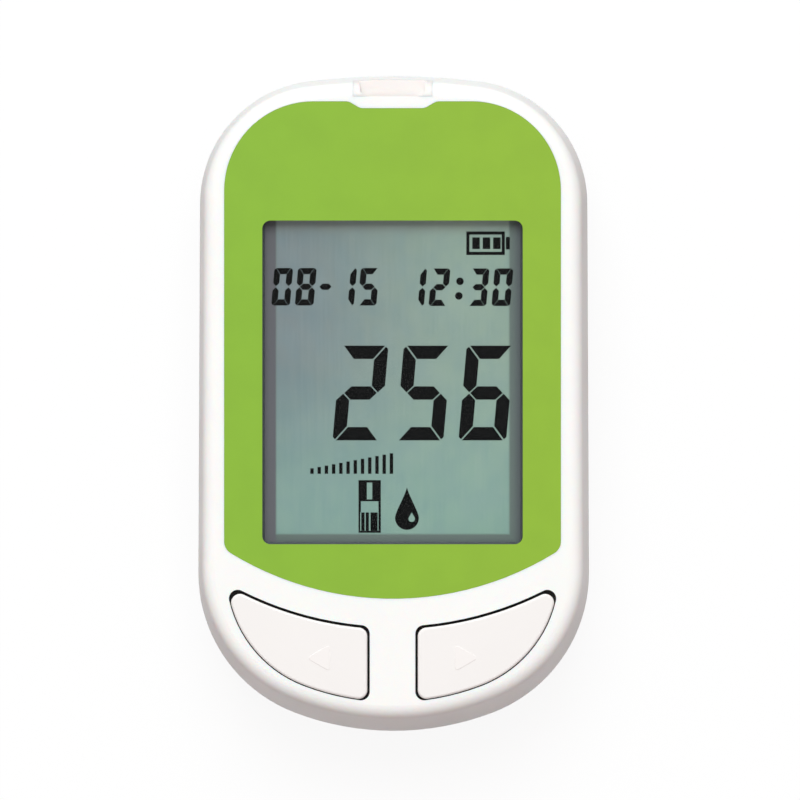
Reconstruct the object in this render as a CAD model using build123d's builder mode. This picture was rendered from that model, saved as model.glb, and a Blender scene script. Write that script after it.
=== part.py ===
from build123d import *
import os
from math import sqrt

os.makedirs("parts", exist_ok=True)

# A handheld blood test meter that lies on its back. Millimetres.
# X points right and Y to the strip port, seen from the face. Z comes out of the face, from 0 under the feet.

# Display window and the rims round it, which add up to the width and length of the case
window_width = 38.2
window_length = 47.46
window_corner = 1.2
fascia_side_band = 5.58
fascia_top_band = 17.47
fascia_bottom_band = 7.98
side_rim = 3.75
top_rim = 3.85
side_flare = 0.36
button_band = 4.09
button_height = 11.13
button_edge_margin = 4.32

# Case curves, seen from the face
top_radius = 104.6
top_corner_radius = 18.2
bottom_radius = 40.9
bottom_corner_radius = 22.0

# Case walls and drafts
wall = 1.8
seam_height = 10.0
seam_gap = 0.2
lip_wall = 0.9
lip_depth = 1.7
tongue_height = 1.5
tongue_clearance = 0.1
side_draft = 0.85
top_draft = 1.0
bottom_draft = 2.2
rear_draft = 1.0
face_fillet = 2.0
rear_fillet = 4.0

# Green fascia
fascia_thickness = 0.4
fascia_gap = 0.02
fascia_corner = 13.05
fascia_bottom_radius = 45.5
fascia_lower_corner = 2.0
fascia_notch_depth = 1.0
fascia_notch_half_width = 5.6
fascia_notch_slope = 0.85
fascia_notch_fillet = 1.6

# Display: lens, glass, holder and their supports
lens_thickness = 0.7
lens_overlap = 1.85
lens_clearance = 0.1
ledge_thickness = 0.6
ledge_setback = 0.45
bezel_side = 0.35
bezel_bottom = 0.35
bezel_top_hidden = 0.25
bezel_thickness = 0.5
bezel_bevel = 0.3
glass_margin = 0.55
glass_bottom_margin = 1.4
glass_top_margin = 1.35
glass_clearance = 0.1
glass_thickness = 0.7
contact_ledge = 2.1
film_thickness = 0.2
film_inset = 0.25
pad_thickness = 1.2
pad_width = 3.0
holder_wall = 0.75
zebra_width = 1.4
zebra_end_inset = 2.5

# Circuit board
board_thickness = 1.0
board_side_inset = 4.6
board_top_inset = 3.6
board_bottom_inset = 5.0
board_gap = 0.7
board_screw_radius = 0.8
board_screw_length = 4.0
board_head_radius = 1.6
board_head_height = 1.1
board_post_radius = 1.8
board_post_clearance = 0.2
board_screw_upper = 13.0
board_screw_lower = 15.0

# Case screws
case_screw_radius = 1.0
case_screw_length = 9.0
case_head_radius = 1.8
case_head_height = 1.4
case_screw_cover = 3.6
well_clearance = 0.3
shank_clearance = 0.2
thread_clearance = 0.02
screw_tip_gap = 0.5
boss_wall = 1.2
boss_radius = 2.2
boss_board_clearance = 0.3
boss_drop = 1.0
upper_boss_gap = 1.9
lower_boss_gap = 0.4
upper_boss_side = 8.43
lower_boss_side = 9.25
recess_width = 0.4
recess_share = 0.55

# Batteries and their bay
battery_radius = 5.25
battery_length = 44.5
battery_spacing = 0.6
battery_clearance = 0.4
battery_roof_clearance = 0.3
sleeve_thickness = 0.15
sleeve_end_gap = 0.5
nub_radius = 1.9
nub_length = 1.0
bay_wall = 1.2
bay_roof = 1.0
bay_end_margin = 5.2
contact_thickness = 0.4
contact_half_width = 3.6
contact_half_height = 3.6
contact_tab_width = 2.4
slot_clearance = 0.2
spring_length = 3.6
spring_radius = 3.0
spring_wire_radius = 0.3
spring_turns = 3

# Sliding battery door
door_thickness = 1.5
door_clearance = 0.2
door_side_overlap = 2.4
door_end_overlap = 1.8
door_end_height = 5.4
door_tongue_width = 0.9
door_tongue_thickness = 0.75
door_ledge = 1.3
door_pad_margin = 1.3
grip_rib_height = 0.3
grip_rib_width = 0.8
grip_rib_length = 14.0
grip_rib_pitch = 1.8
grip_rib_count = 6
grip_rib_start = 9.0

# Buttons and their switches
button_arc_radius = 49.2
button_half_bridge = 3.34
button_corner = 1.3
button_top_gap = 0.4
button_inner_gap = 0.36
button_outer_gap = 0.16
button_proud = 0.25
button_edge_round = 0.35
button_travel = 0.4
cap_wall = 1.2
core_corner = 0.5
carrier_thickness = 0.6
carrier_lift_gap = 0.2
carrier_flange = 0.7
carrier_outer_flange = 0.3
carrier_fit = 0.1
carrier_post_radius = 2.0
switch_side = 12.0
switch_offset = 4.2
switch_size = 5.2
switch_height = 1.4
switch_wall = 0.6
switch_cover_thickness = 0.15
plunger_radius = 1.2
plunger_collar_radius = 1.6
plunger_collar_height = 0.4
plunger_clearance = 0.1
rest_radius = 1.5
rest_setback = 3.0

# Strip port and its connector
port_half_width = 5.8
port_fit = 0.02
port_setback = 3.1
scoop_front_half_width = 5.05
scoop_back_half_width = 4.6
scoop_corner = 1.0
port_floor = 1.0
port_back = 1.4
slot_half_width = 3.8
slot_height = 0.8
connector_gap = 0.2
connector_length = 12.0
connector_side_wall = 2.7
connector_back_wall = 1.0
connector_headroom = 0.3
connector_lid = 0.6
contact_count = 5
contact_pitch = 1.4
contact_leaf_width = 0.8
contact_leaf_thickness = 0.2
contact_tail = 1.0
contact_bend = 0.3

# Parts on the underside of the board
buzzer_radius = 6.0
buzzer_height = 4.4
buzzer_wall = 0.6
buzzer_disc_thickness = 0.3
buzzer_side = 14.5
sound_hole_radius = 0.6
sound_hole_ring = 2.4
sound_hole_count = 6
processor_size = 9.0
processor_height = 1.2
processor_side = 13.0
memory_width = 5.0
memory_length = 4.0
memory_height = 1.4
crystal_width = 3.2
crystal_length = 2.5
crystal_height = 0.8
chip_gap = 1.6
passive_width = 0.8
passive_length = 1.6
passive_height = 0.7
passive_pitch = 2.6
passive_count = 6

# Rubber feet
foot_height = 0.6
foot_recess = 0.4
foot_radius = 2.5
foot_fit = 0.1
foot_edge_round = 0.25
upper_foot_side = 13.0
upper_foot_inset = 10.0
lower_foot_side = 18.2
lower_foot_inset = 16.0

# Case size, and heights from the table up
half_window = window_width / 2
fascia_half_width = half_window + fascia_side_band
half_width_top = fascia_half_width + side_rim
half_width_bottom = half_width_top + side_flare
fascia_length = fascia_top_band + window_length + fascia_bottom_band
case_length = top_rim + fascia_length + button_band + button_height + button_edge_margin
top_end = case_length / 2
bottom_end = -case_length / 2
fascia_top = top_end - top_rim
window_top = fascia_top - fascia_top_band
window_bottom = window_top - window_length
window_middle = (window_top + window_bottom) / 2
fascia_bottom = window_bottom - fascia_bottom_band
button_arc_middle = fascia_bottom - button_band + button_arc_radius

battery_axis = foot_height + door_thickness + battery_clearance + battery_radius
bay_ceiling = battery_axis + battery_radius + battery_roof_clearance
bay_top_height = bay_ceiling + bay_roof
board_bottom = bay_top_height + board_gap
board_top = board_bottom + board_thickness
reflector_bottom = board_top + pad_thickness
rear_glass_bottom = reflector_bottom + film_thickness
front_glass_bottom = rear_glass_bottom + glass_thickness
polariser_bottom = front_glass_bottom + glass_thickness
bezel_bottom_height = polariser_bottom + film_thickness
ceiling = bezel_bottom_height + bezel_thickness
lens_bottom = ceiling + ledge_thickness
fascia_floor = lens_bottom + lens_thickness
case_height = fascia_floor + fascia_thickness
rear_top = seam_height - seam_gap
boss_joint = seam_height - boss_drop
screw_seat = foot_height + case_screw_cover
pad_top_height = foot_height + door_thickness + door_clearance + door_ledge

# Display sizes
lens_width = window_width + 2 * lens_overlap
lens_length = window_length + 2 * lens_overlap
view_half_width = half_window - bezel_side
view_bottom = window_bottom + bezel_bottom
view_top = window_top + bezel_top_hidden
view_middle = (view_top + view_bottom) / 2
glass_half_width = view_half_width + glass_margin
glass_bottom = view_bottom - glass_bottom_margin
glass_top = view_top + glass_top_margin
glass_length = glass_top - glass_bottom
glass_middle = (glass_top + glass_bottom) / 2
rear_glass_length = glass_length - contact_ledge
rear_glass_middle = glass_middle + contact_ledge / 2
holder_rim = glass_clearance + holder_wall
holder_half_width = glass_half_width + holder_rim
holder_top = glass_top + holder_rim
holder_bottom = glass_bottom - holder_rim

# Screw places
board_post_x = holder_half_width + board_post_clearance + board_post_radius
board_screw_places = [
    (side * board_post_x, window_middle + offset)
    for side in (-1, 1)
    for offset in (board_screw_upper, -board_screw_lower)
]
upper_boss_y = holder_top + upper_boss_gap + boss_radius
lower_boss_y = holder_bottom - lower_boss_gap - boss_radius
case_screw_places = [
    (side * x, y)
    for side in (-1, 1)
    for x, y in (
        (half_width_top - upper_boss_side, upper_boss_y),
        (half_width_bottom - lower_boss_side, lower_boss_y),
    )
]
foot_places = [
    (side * x, y)
    for side in (-1, 1)
    for x, y in (
        (upper_foot_side, top_end - upper_foot_inset),
        (lower_foot_side, bottom_end + lower_foot_inset),
    )
]

# Battery bay and door
battery_x = battery_radius + battery_spacing / 2
bay_half_width = battery_x + battery_radius + battery_clearance
bay_outer_half = bay_half_width + bay_wall
bay_end = bottom_end + bay_end_margin
bay_length = battery_length + spring_length + 2 * contact_thickness
bay_top = bay_end + bay_length
bay_outer_top = bay_top + bay_wall
door_half_width = bay_half_width + door_side_overlap
door_top = bay_top + door_end_overlap
channel_half_width = door_half_width + door_clearance
channel_top = door_top + door_clearance
channel_height = foot_height + door_end_height + door_clearance
groove_half_width = channel_half_width + door_tongue_width
groove_bottom = foot_height + door_thickness - door_tongue_thickness - door_clearance
door_pad_half_width = groove_half_width + door_pad_margin
door_pad_top = channel_top + door_pad_margin

# Button heights, from the ceiling of the front cover down to the switches
carrier_top = ceiling - carrier_lift_gap
carrier_bottom = carrier_top - carrier_thickness
switch_top = board_top + switch_height
plunger_top = switch_top + switch_cover_thickness + button_travel + carrier_lift_gap
plunger_bottom = switch_top - plunger_collar_height
button_middle = (fascia_bottom - button_band) - switch_offset

# Strip port
scoop_floor = board_top + port_floor
port_line = top_end - port_setback
port_back_end = port_line - port_back
connector_front = port_back_end - connector_gap
connector_back = connector_front - connector_length
connector_half_width = slot_half_width + connector_side_wall
connector_top = ceiling - connector_headroom
chamber_top = connector_top - connector_lid
chip_row = (bay_outer_top + upper_boss_y) / 2


def draw_case(side_in, top_in, bottom_in):
    """Draw the case outline in the open sketch, drawn in by these amounts at its sides, top and bottom."""
    half_top = half_width_top - side_in
    half_bottom = half_width_bottom - side_in
    top_corner = top_end - top_radius + sqrt((top_radius - top_in) ** 2 - half_top**2)
    bottom_corner = bottom_end + bottom_radius - sqrt((bottom_radius - bottom_in) ** 2 - half_bottom**2)
    with BuildLine() as edge:
        ThreePointArc((half_top, top_corner), (0, top_end - top_in), (-half_top, top_corner))
        Line((-half_top, top_corner), (-half_bottom, bottom_corner))
        low = (0, bottom_end + bottom_in)
        ThreePointArc((-half_bottom, bottom_corner), low, (half_bottom, bottom_corner))
        Line((half_bottom, bottom_corner), (half_top, top_corner))
    make_face(edge.edges())
    fillet(vertices().group_by(Axis.Y)[-1], top_corner_radius - (side_in + top_in) / 2)
    fillet(vertices().group_by(Axis.Y)[0], bottom_corner_radius - (side_in + bottom_in) / 2)


def draw_front(height, inset):
    """Draw the front cover's outer section at a height, drawn in by the inset."""
    share = (height - seam_height) / (case_height - seam_height)
    draw_case(side_draft * share + inset, top_draft * share + inset, bottom_draft * share + inset)


def draw_box(left, right, low, high, mode=Mode.ADD):
    """Draw an upright rectangle between these sides in the open sketch."""
    with Locations(((left + right) / 2, (low + high) / 2)):
        Rectangle(right - left, high - low, mode=mode)


def front_form(inset, top):
    """The front cover's outer form, drawn in by the inset and flat at its top."""
    with BuildPart() as form:
        with BuildSketch(Plane.XY.offset(seam_height)) as foot:
            draw_front(seam_height, inset)
        with BuildSketch(Plane.XY.offset(top)) as head:
            draw_front(top, inset)
        loft([foot.sketch, head.sketch], ruled=True)
    return form.part


def rear_form(inset):
    """The rear cover's outer form with its rounded back edge, drawn in by the inset."""
    with BuildPart() as form:
        with BuildSketch(Plane.XY.offset(rear_top)) as rim:
            draw_case(inset, inset, inset)
        with BuildSketch(Plane.XY.offset(foot_height + inset)) as back:
            draw_case(rear_draft + inset, rear_draft + inset, rear_draft + inset)
        loft([rim.sketch, back.sketch], ruled=True)
        fillet(form.faces().sort_by(Axis.Z)[0].edges(), rear_fillet - inset)
    return form.part


def draw_fascia(gap):
    """Draw the fascia's outer edge, with its notch below the strip port, grown by the gap."""
    side = fascia_half_width + gap
    top = fascia_top + gap
    notch = top - fascia_notch_depth
    notch_wide = fascia_notch_half_width + fascia_notch_slope - gap
    notch_narrow = fascia_notch_half_width - fascia_notch_slope - gap
    radius = fascia_bottom_radius + gap
    corner = fascia_bottom + fascia_bottom_radius - sqrt(radius**2 - side**2)
    with BuildLine() as edge:
        Polyline(
            (-side, corner),
            (-side, top),
            (-notch_wide, top),
            (-notch_narrow, notch),
            (notch_narrow, notch),
            (notch_wide, top),
            (side, top),
            (side, corner),
        )
        ThreePointArc((side, corner), (0, fascia_bottom - gap), (-side, corner))
    make_face(edge.edges())
    middle = side - fascia_corner
    fillet(vertices().filter_by(lambda v: abs(v.X) < middle and v.Y > window_top), fascia_notch_fillet)
    fillet(vertices().filter_by(lambda v: abs(v.X) > middle and v.Y > window_top), fascia_corner + gap)
    fillet(vertices().group_by(Axis.Y)[0], fascia_lower_corner + gap)


def draw_button(side, top_gap, inner_gap, outer_gap, corner=button_corner):
    """Draw one crescent between the fascia and the case's end, drawn in by a gap at each of its edges."""
    inset = button_edge_margin + outer_gap
    near = side * (button_half_bridge + inner_gap)
    far = side * half_width_bottom
    draw_case(inset, inset, inset)
    with Locations((0, button_arc_middle)):
        Circle(button_arc_radius + top_gap, mode=Mode.SUBTRACT)
    draw_box(min(near, far), max(near, far), bottom_end, button_arc_middle, mode=Mode.INTERSECT)
    offset(amount=-corner)
    offset(amount=corner)


def write(piece, name):
    """Label a finished piece and write its file."""
    piece.part.label = name
    export_step(piece.part, "parts/" + name + ".step")


# Front cover: the white upper shell
with BuildPart() as front_cover:
    add(front_form(0, case_height))
    fillet(front_cover.faces().sort_by(Axis.Z)[-1].edges(), face_fillet)
    add(front_form(wall, ceiling), mode=Mode.SUBTRACT)
    # Bosses for the case screws and posts for the board screws
    with BuildSketch(Plane.XY.offset(boss_joint)):
        with Locations(*case_screw_places):
            Circle(boss_radius)
    extrude(amount=ceiling - boss_joint)
    with BuildSketch(Plane.XY.offset(board_top)):
        with Locations(*board_screw_places):
            Circle(board_post_radius)
    extrude(amount=ceiling - board_top)
    with BuildSketch(Plane.XY.offset(boss_joint)):
        with Locations(*case_screw_places):
            Circle(case_screw_radius + thread_clearance)
    extrude(amount=screw_seat + case_screw_length + screw_tip_gap - boss_joint, mode=Mode.SUBTRACT)
    with BuildSketch(Plane.XY.offset(board_top)):
        with Locations(*board_screw_places):
            Circle(board_screw_radius + thread_clearance)
    extrude(amount=board_bottom + board_screw_length + screw_tip_gap - board_top, mode=Mode.SUBTRACT)
    # Step inside the rim for the rear cover's tongue, cut round the bosses
    with BuildSketch(Plane.XY.offset(seam_height)):
        draw_case(lip_wall, lip_wall, lip_wall)
        with Locations(*case_screw_places):
            Circle(boss_radius, mode=Mode.SUBTRACT)
    extrude(amount=lip_depth, mode=Mode.SUBTRACT)
    # Recess for the fascia, pocket for the lens and opening for the display
    with BuildSketch(Plane.XY.offset(fascia_floor)):
        draw_fascia(fascia_gap)
    extrude(amount=fascia_thickness, mode=Mode.SUBTRACT)
    with BuildSketch(Plane.XY.offset(lens_bottom)):
        with Locations((0, window_middle)):
            Rectangle(lens_width + 2 * lens_clearance, lens_length + 2 * lens_clearance)
    extrude(amount=lens_thickness, mode=Mode.SUBTRACT)
    with BuildSketch(Plane.XY.offset(ceiling)):
        with Locations((0, window_middle)):
            Rectangle(window_width + 2 * ledge_setback, window_length + 2 * ledge_setback)
    extrude(amount=ledge_thickness, mode=Mode.SUBTRACT)
    # Openings for the two buttons and the strip port
    for side in (-1, 1):
        with BuildSketch(Plane.XY.offset(ceiling)):
            draw_button(side, 0, 0, 0)
        extrude(amount=case_height - ceiling, mode=Mode.SUBTRACT)
    with BuildSketch(Plane.XY.offset(board_top)):
        draw_box(-port_half_width - port_fit, port_half_width + port_fit, port_line, top_end)
    extrude(amount=case_height - board_top, mode=Mode.SUBTRACT)
write(front_cover, "front_cover")

# The hollow of the rear cover, round its screw bosses, door pad and battery bay
with BuildPart() as rear_hollow:
    add(rear_form(wall))
    with BuildSketch(Plane.XY.offset(foot_height)):
        with Locations(*case_screw_places):
            Circle(case_head_radius + well_clearance + boss_wall)
    extrude(amount=boss_joint - foot_height, mode=Mode.SUBTRACT)
    with BuildSketch(Plane.XY.offset(foot_height)):
        draw_box(-door_pad_half_width, door_pad_half_width, bottom_end, door_pad_top)
    extrude(amount=pad_top_height - foot_height, mode=Mode.SUBTRACT)
    with BuildSketch(Plane.XY.offset(foot_height)):
        draw_box(-door_pad_half_width, door_pad_half_width, bottom_end, bay_end)
    extrude(amount=channel_height + bay_wall - foot_height, mode=Mode.SUBTRACT)
    with BuildSketch(Plane.XY.offset(foot_height)):
        draw_box(-bay_outer_half, bay_outer_half, bottom_end, bay_outer_top)
    extrude(amount=rear_top - foot_height, mode=Mode.SUBTRACT)

# The space that the battery door slides in
with BuildPart() as door_space:
    with BuildSketch():
        draw_box(-channel_half_width, channel_half_width, bottom_end, channel_top)
    extrude(amount=channel_height)
    add(rear_form(door_thickness + door_clearance), mode=Mode.SUBTRACT)
    with BuildSketch(Plane.XY.offset(groove_bottom)):
        draw_box(-groove_half_width, groove_half_width, bottom_end, channel_top)
    extrude(amount=foot_height + door_thickness + door_clearance - groove_bottom)

# Rear cover: the white back shell with the battery bay
with BuildPart() as rear_cover:
    add(rear_form(0))
    add(rear_hollow.part, mode=Mode.SUBTRACT)
    # Tongue that locates the front cover
    with BuildSketch(Plane.XY.offset(rear_top)):
        draw_case(lip_wall + tongue_clearance, lip_wall + tongue_clearance, lip_wall + tongue_clearance)
    extrude(amount=tongue_height)
    with BuildSketch(Plane.XY.offset(rear_top)):
        draw_case(wall, wall, wall)
    extrude(amount=tongue_height, mode=Mode.SUBTRACT)
    # Upper part of the bay, clear of the front cover, with rests for the board behind the switches
    with BuildSketch(Plane.XY.offset(rear_top)):
        draw_front(bay_top_height, wall + door_clearance)
        draw_box(-bay_outer_half, bay_outer_half, bottom_end, bay_outer_top, mode=Mode.INTERSECT)
    extrude(amount=bay_top_height - rear_top)
    with BuildSketch(Plane.XY.offset(bay_top_height)):
        with Locations(*[(side * (switch_side - rest_setback), button_middle) for side in (-1, 1)]):
            Circle(rest_radius)
    extrude(amount=board_gap)
    # Bay, door channel and slots for the contact tabs
    with BuildSketch(Plane.XY.offset(foot_height)):
        draw_box(-bay_half_width, bay_half_width, bay_end, bay_top)
    extrude(amount=bay_ceiling - foot_height, mode=Mode.SUBTRACT)
    add(door_space.part, mode=Mode.SUBTRACT)
    with BuildSketch(Plane.XY.offset(bay_ceiling)):
        with Locations(*[(side * battery_x, bay_top - contact_thickness / 2) for side in (-1, 1)]):
            Rectangle(contact_tab_width + 2 * slot_clearance, contact_thickness + 2 * slot_clearance)
    extrude(amount=bay_roof, mode=Mode.SUBTRACT)
    # Screw wells and holes, sound holes and foot recesses
    with BuildSketch(Plane.XY.offset(foot_height)):
        with Locations(*case_screw_places):
            Circle(case_head_radius + well_clearance)
    extrude(amount=case_screw_cover, mode=Mode.SUBTRACT)
    with BuildSketch(Plane.XY.offset(screw_seat)):
        with Locations(*case_screw_places):
            Circle(case_screw_radius + shank_clearance)
    extrude(amount=boss_joint - screw_seat, mode=Mode.SUBTRACT)
    with BuildSketch(Plane.XY.offset(foot_height)):
        with Locations((-buzzer_side, chip_row)):
            with PolarLocations(sound_hole_ring, sound_hole_count):
                Circle(sound_hole_radius)
    extrude(amount=wall, mode=Mode.SUBTRACT)
    with BuildSketch(Plane.XY.offset(foot_height)):
        with Locations(*foot_places):
            Circle(foot_radius + foot_fit)
    extrude(amount=foot_recess, mode=Mode.SUBTRACT)
write(rear_cover, "rear_cover")

# Battery door: slides off over the bottom end
with BuildPart() as battery_door:
    add(rear_form(0))
    with BuildSketch(Plane.XY.offset(foot_height)):
        draw_box(-door_half_width, door_half_width, bottom_end, door_top)
    extrude(amount=door_end_height, mode=Mode.INTERSECT)
    add(rear_form(door_thickness), mode=Mode.SUBTRACT)
    with BuildSketch(Plane.XY.offset(foot_height + door_thickness - door_tongue_thickness)):
        draw_box(-door_half_width - door_tongue_width, door_half_width + door_tongue_width, bay_end, door_top)
    extrude(amount=door_tongue_thickness)
    with BuildSketch(Plane.XY.offset(foot_height - grip_rib_height)):
        for i in range(grip_rib_count):
            with Locations((0, bottom_end + grip_rib_start + i * grip_rib_pitch)):
                Rectangle(grip_rib_length, grip_rib_width)
    extrude(amount=grip_rib_height + door_thickness / 2)
write(battery_door, "battery_door")

# Rubber feet
with BuildPart() as rubber_feet:
    with BuildSketch():
        with Locations(*foot_places):
            Circle(foot_radius)
    extrude(amount=foot_height + foot_recess)
    fillet(rubber_feet.edges().group_by(Axis.Z)[0], foot_edge_round)
write(rubber_feet, "rubber_feet")

# Fascia: the coloured sheet round the display
with BuildPart() as fascia_overlay:
    with BuildSketch(Plane.XY.offset(fascia_floor)):
        draw_fascia(0)
        with Locations((0, window_middle)):
            RectangleRounded(window_width, window_length, window_corner, mode=Mode.SUBTRACT)
    extrude(amount=fascia_thickness)
write(fascia_overlay, "fascia_overlay")

# Lens: the clear window under the fascia
with BuildPart() as display_lens:
    with BuildSketch(Plane.XY.offset(lens_bottom)):
        with Locations((0, window_middle)):
            Rectangle(lens_width, lens_length)
    extrude(amount=lens_thickness)
write(display_lens, "display_lens")

# Display holder: the dark frame that holds the glass, its bevel just inside the window
with BuildPart() as display_holder:
    with BuildSketch(Plane.XY.offset(board_top)):
        draw_box(-holder_half_width, holder_half_width, holder_bottom, holder_top)
    extrude(amount=ceiling - board_top)
    with BuildSketch(Plane.XY.offset(board_top)):
        with Locations((0, glass_middle)):
            Rectangle(2 * (glass_half_width + glass_clearance), glass_length + 2 * glass_clearance)
    extrude(amount=bezel_bottom_height - board_top, mode=Mode.SUBTRACT)
    with BuildSketch(Plane.XY.offset(bezel_bottom_height)):
        with Locations((0, view_middle)):
            Rectangle(2 * view_half_width, view_top - view_bottom)
    extrude(amount=bezel_thickness, mode=Mode.SUBTRACT)
    chamfer(display_holder.faces().sort_by(Axis.Z)[-1].inner_wires().edges(), bezel_bevel)
write(display_holder, "display_holder")


def make_sheet(name, bottom, thickness, half_width, length, middle):
    """Make one flat layer of the display."""
    with BuildPart() as sheet:
        with BuildSketch(Plane.XY.offset(bottom)):
            with Locations((0, middle)):
                Rectangle(2 * half_width, length)
        extrude(amount=thickness)
    write(sheet, name)


film_half_width = glass_half_width - film_inset
film_length = rear_glass_length - 2 * film_inset
polariser = (film_thickness, film_half_width, glass_length - 2 * film_inset, glass_middle)
make_sheet("lcd_front_polariser", polariser_bottom, *polariser)
front_glass = (glass_thickness, glass_half_width, glass_length, glass_middle)
make_sheet("lcd_front_glass", front_glass_bottom, *front_glass)
rear_glass = (glass_thickness, glass_half_width, rear_glass_length, rear_glass_middle)
make_sheet("lcd_rear_glass", rear_glass_bottom, *rear_glass)
reflector = (film_thickness, film_half_width, film_length, rear_glass_middle)
make_sheet("lcd_reflector", reflector_bottom, *reflector)

# Elastomer strip that carries the display's signals up to the ledge of its front glass
with BuildPart() as zebra_strip:
    with BuildSketch(Plane.XY.offset(board_top)):
        with Locations((0, glass_bottom + contact_ledge / 2)):
            Rectangle(2 * (glass_half_width - zebra_end_inset), zebra_width)
    extrude(amount=front_glass_bottom - board_top)
write(zebra_strip, "zebra_strip")

# Foam pad that presses the display up against its holder
with BuildPart() as display_pad:
    with BuildSketch(Plane.XY.offset(board_top)):
        with Locations((0, rear_glass_middle)):
            Rectangle(2 * film_half_width, film_length)
            Rectangle(2 * (film_half_width - pad_width), film_length - 2 * pad_width, mode=Mode.SUBTRACT)
    extrude(amount=pad_thickness)
write(display_pad, "display_pad")

# Main board, with holes for the screws and for the bosses of the front cover
with BuildPart() as main_board:
    with BuildSketch(Plane.XY.offset(board_bottom)):
        draw_case(board_side_inset, board_top_inset, board_bottom_inset)
        with Locations(*case_screw_places):
            Circle(boss_radius + boss_board_clearance, mode=Mode.SUBTRACT)
        with Locations(*board_screw_places):
            Circle(board_screw_radius + shank_clearance, mode=Mode.SUBTRACT)
    extrude(amount=board_thickness)
write(main_board, "main_board")


def make_screws(name, places, seat, radius, length, head_radius, head_height):
    """Make one set of cross-head screws that stand on their heads."""
    with BuildPart() as screws:
        with BuildSketch(Plane.XY.offset(seat - head_height)):
            with Locations(*places):
                Circle(head_radius)
        extrude(amount=head_height)
        fillet(screws.edges().group_by(Axis.Z)[0], head_height / 2)
        with BuildSketch(Plane.XY.offset(seat)):
            with Locations(*places):
                Circle(radius)
        extrude(amount=length)
        with BuildSketch(Plane.XY.offset(seat - head_height)):
            with Locations(*places):
                Rectangle(head_radius, recess_width)
                Rectangle(recess_width, head_radius)
        extrude(amount=head_height * recess_share, mode=Mode.SUBTRACT)
    write(screws, name)


make_screws(
    "case_screws",
    case_screw_places,
    screw_seat,
    case_screw_radius,
    case_screw_length,
    case_head_radius,
    case_head_height,
)
make_screws(
    "board_screws",
    board_screw_places,
    board_bottom,
    board_screw_radius,
    board_screw_length,
    board_head_radius,
    board_head_height,
)

# Strip port guide: the scoop at the top end that leads a strip into the connector
with BuildPart() as strip_port_guide:
    add(front_form(0, case_height))
    fillet(strip_port_guide.faces().sort_by(Axis.Z)[-1].edges(), face_fillet)
    with BuildSketch(Plane.XY.offset(board_top)):
        draw_box(-port_half_width, port_half_width, port_back_end, top_end)
    extrude(amount=case_height - board_top, mode=Mode.INTERSECT)
    with BuildSketch(Plane.XY.offset(ceiling)):
        draw_box(-port_half_width, port_half_width, port_back_end, port_line + port_fit)
    extrude(amount=case_height - ceiling, mode=Mode.SUBTRACT)
    with BuildSketch(Plane.XY.offset(scoop_floor)) as scoop:
        with BuildLine():
            Polyline(
                (-scoop_front_half_width, top_end),
                (-scoop_back_half_width, port_line + port_fit),
                (scoop_back_half_width, port_line + port_fit),
                (scoop_front_half_width, top_end),
                close=True,
            )
        make_face()
        fillet(scoop.vertices().group_by(Axis.Y)[0], scoop_corner)
    extrude(amount=case_height - scoop_floor, mode=Mode.SUBTRACT)
    with BuildSketch(Plane.XY.offset(scoop_floor)):
        draw_box(-slot_half_width, slot_half_width, port_back_end, top_end)
    extrude(amount=slot_height, mode=Mode.SUBTRACT)
write(strip_port_guide, "strip_port_guide")

# Strip connector on the board, with a chamber for its contact springs above the slot
with BuildPart() as strip_connector:
    with BuildSketch(Plane.XY.offset(board_top)):
        draw_box(-connector_half_width, connector_half_width, connector_back, connector_front)
    extrude(amount=connector_top - board_top)
    with BuildSketch(Plane.XY.offset(scoop_floor)):
        draw_box(-slot_half_width, slot_half_width, connector_back + connector_back_wall, connector_front)
    extrude(amount=slot_height, mode=Mode.SUBTRACT)
    with BuildSketch(Plane.XY.offset(scoop_floor + slot_height)):
        draw_box(-slot_half_width, slot_half_width, connector_back, connector_front - connector_back_wall)
    extrude(amount=chamber_top - scoop_floor - slot_height, mode=Mode.SUBTRACT)
write(strip_connector, "strip_connector_housing")

leaf_level = chamber_top - contact_leaf_thickness / 2
leaf_foot = board_top + contact_leaf_thickness / 2
leaf_riser = connector_back - contact_leaf_thickness
leaf_tip = connector_front - 2 * connector_back_wall
leaf_touch = scoop_floor + slot_height / 2
leaf_reach = connector_length / 4
with BuildPart() as strip_contacts:
    for i in range(contact_count):
        leaf_x = (i - (contact_count - 1) / 2) * contact_pitch
        with BuildSketch(Plane.YZ.offset(leaf_x)):
            with BuildLine():
                FilletPolyline(
                    (leaf_riser - contact_tail, leaf_foot),
                    (leaf_riser, leaf_foot),
                    (leaf_riser, leaf_level),
                    (leaf_tip - 2 * leaf_reach, leaf_level),
                    (leaf_tip - leaf_reach / 2, leaf_touch + contact_leaf_thickness / 2),
                    (leaf_tip, leaf_touch + 2 * contact_leaf_thickness),
                    radius=contact_bend,
                )
            trace(line_width=contact_leaf_thickness)
        extrude(amount=contact_leaf_width / 2, both=True)
write(strip_contacts, "strip_contact_springs")

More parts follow.
